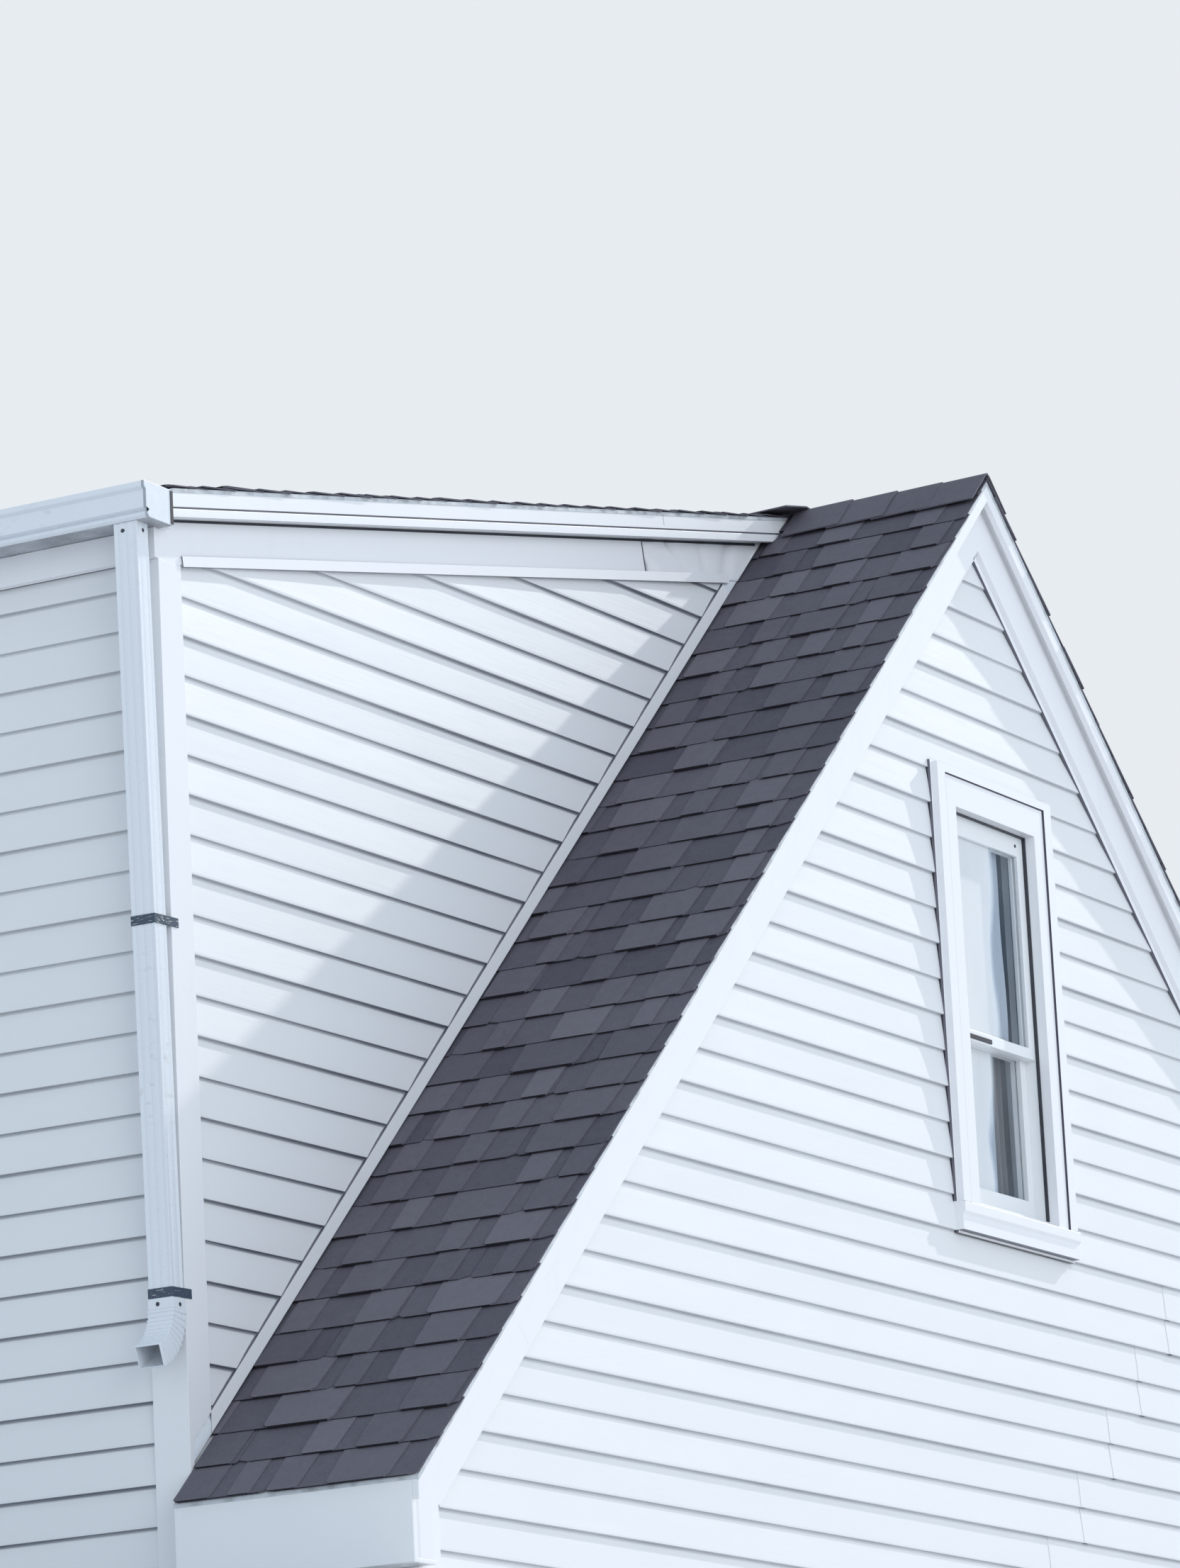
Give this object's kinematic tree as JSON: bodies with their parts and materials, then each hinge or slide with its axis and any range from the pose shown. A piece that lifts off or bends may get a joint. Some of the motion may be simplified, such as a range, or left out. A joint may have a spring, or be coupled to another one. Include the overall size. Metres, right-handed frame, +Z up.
{
  "type": "shed dormer with gable end",
  "caption": "Sided attic half-storey: a broad shed dormer with gutter and leaning downspout on a steep shingled roof, between gables with double-hung windows.",
  "frame": {"origin": "middle of the underside of the centre bearing beam, level with the underside of the walls that the half-storey stands on", "axes": "+X across the gable towards the plain roof slope, +Y along the ridge away from the near gable, +Z up; the dormer faces -X"},
  "size_m": [6.987, 5.812, 3.47],
  "materials": {
    "framing_lumber": "planed softwood",
    "sheathing_panel": "strand board",
    "vinyl_siding": "fine embossed grain",
    "white_trim": "smooth low sheen",
    "asphalt_shingles": "mineral granules",
    "coated_aluminium": "baked enamel",
    "dark_strap": "worn paint",
    "drip_edge_metal": "weathered paint",
    "white_window_vinyl": "smooth",
    "window_glass": "clear"
  },
  "bodies": {
    "root": {"eave_walls": "framing_lumber", "bearing_beam": "framing_lumber", "floor_joists": "framing_lumber", "rim_joist": "framing_lumber", "subfloor": "sheathing_panel", "gable_wall_front": "sheathing_panel", "gable_wall_back": "sheathing_panel", "dormer_front_wall": "sheathing_panel", "dormer_cheek_front": "sheathing_panel", "dormer_cheek_back": "sheathing_panel", "ridge_board": "framing_lumber", "right_rafters": "framing_lumber", "strip_rafters": "framing_lumber", "dormer_rafters": "framing_lumber", "right_roof_deck": "sheathing_panel", "strip_roof_decks": "sheathing_panel", "dormer_roof_deck": "sheathing_panel", "gable_siding_front": "vinyl_siding", "gable_siding_back": "vinyl_siding", "cheek_siding_front": "vinyl_siding", "cheek_siding_back": "vinyl_siding", "dormer_front_siding": "vinyl_siding", "right_shingles": "asphalt_shingles", "strip_shingles": "asphalt_shingles", "dormer_shingles": "asphalt_shingles", "ridge_cap": "asphalt_shingles", "dormer_corner_posts": "white_trim", "house_corner_posts": "white_trim", "cheek_friezes": "white_trim", "cheek_fascias": "white_trim", "dormer_front_frieze": "white_trim", "dormer_front_fascia": "white_trim", "rake_friezes": "white_trim", "rake_fascias": "white_trim", "eave_fascias": "white_trim", "eave_soffits": "white_trim", "cheek_flashings": "coated_aluminium", "gutter": "coated_aluminium", "gutter_end_caps": "coated_aluminium", "downspout": "coated_aluminium", "downspout_elbow": "coated_aluminium", "downspout_straps": "dark_strap", "window_frames": "white_window_vinyl", "window_casings": "white_trim", "window_sills": "white_trim", "upper_sashes": "white_window_vinyl", "lower_sashes": "white_window_vinyl", "window_glass": "window_glass", "drip_edges": "drip_edge_metal", "gutter_hangers": "coated_aluminium"}
  },
  "joints": []
}
